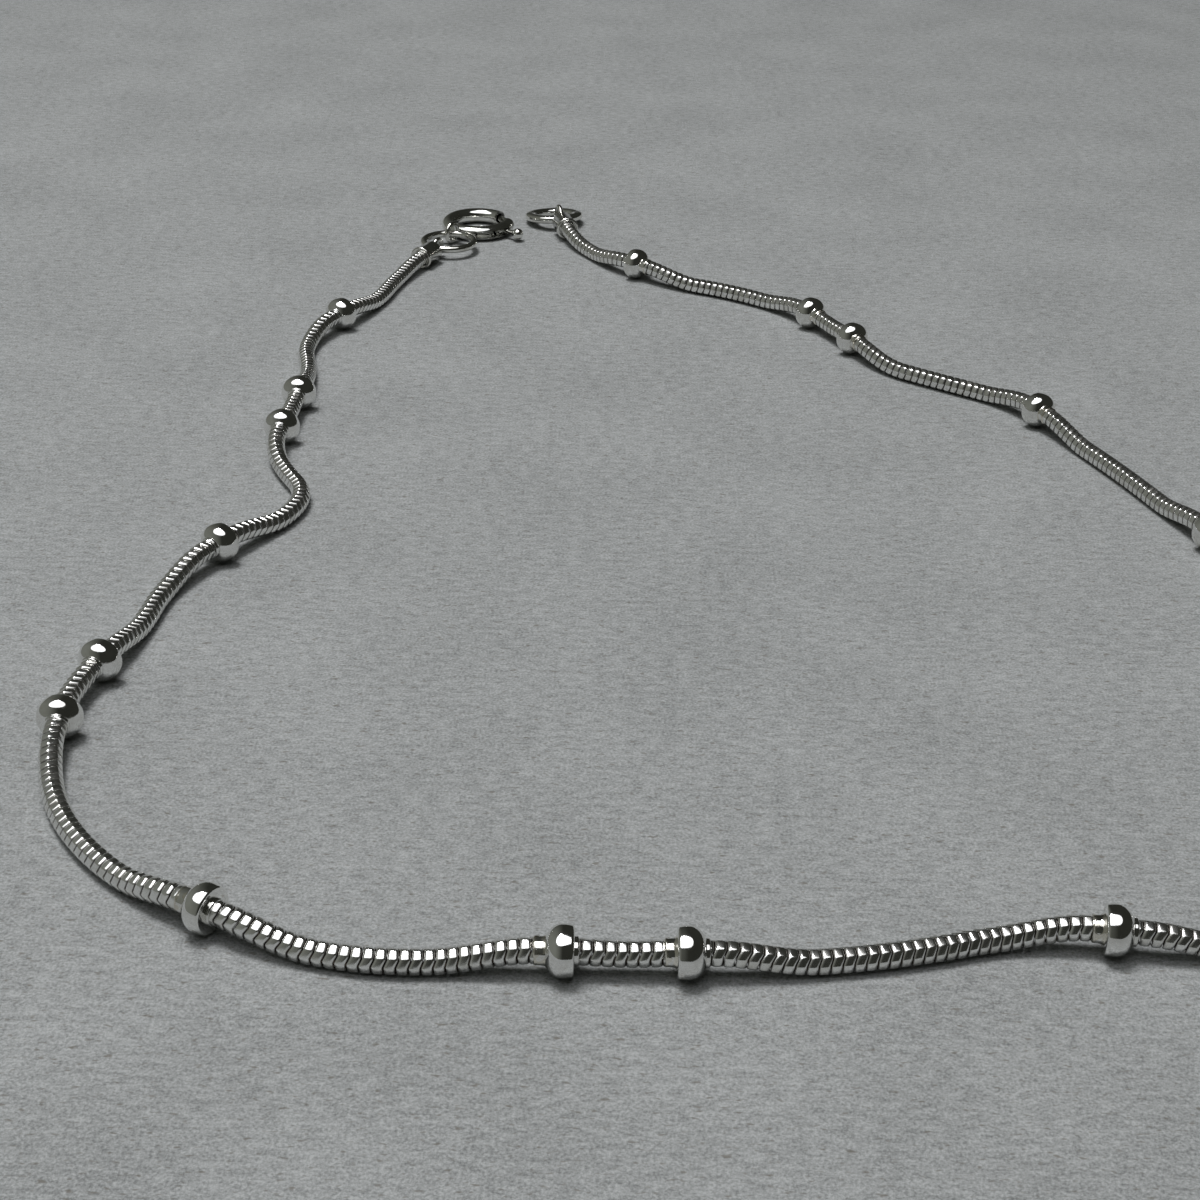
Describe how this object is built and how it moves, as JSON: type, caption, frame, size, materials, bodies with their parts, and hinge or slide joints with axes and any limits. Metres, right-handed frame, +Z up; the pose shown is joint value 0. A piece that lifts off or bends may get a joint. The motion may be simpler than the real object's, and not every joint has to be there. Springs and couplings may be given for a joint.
{
  "type": "snake chain anklet",
  "caption": "Round snake chain anklet with fixed rondelle beads, singly and in pairs, and a spring-ring clasp, laid open on a flat surface.",
  "frame": {"origin": "centre of the part's box, on the surface that it lies on", "axes": "+Z up from the surface, +Y from the front run of the chain towards the clasp, +X to the right"},
  "size_m": [0.069, 0.0956, 0.0021],
  "materials": {
    "chain": "polished silver links",
    "beads": "bright polished silver",
    "clasp": "polished silver"
  },
  "bodies": {
    "anklet": {"snake_chain": "chain", "bead_01": "beads", "bead_02": "beads", "bead_03": "beads", "bead_04": "beads", "bead_05": "beads", "bead_06": "beads", "bead_07": "beads", "bead_08": "beads", "bead_09": "beads", "bead_10": "beads", "bead_11": "beads", "bead_12": "beads", "bead_13": "beads", "bead_14": "beads", "bead_15": "beads", "bead_16": "beads", "bead_17": "beads", "bead_18": "beads", "bead_19": "beads", "clasp_end_cap": "clasp", "clasp_jump_ring": "clasp", "spring_ring": "clasp", "catch_end_cap": "clasp", "catch_ring": "clasp"},
    "bolt": {"clasp_bolt": "clasp"}
  },
  "joints": [
    {"name": "bolt_draw", "type": "hinge", "parent": "anklet", "child": "bolt", "pos_m": [-0.01935, 0.0431, 0.00055], "axis": [0, 0, 1], "range_deg": [-48, 0], "stiffness_Nm_per_rad": 0.002, "springref_deg": 5.73}
  ]
}
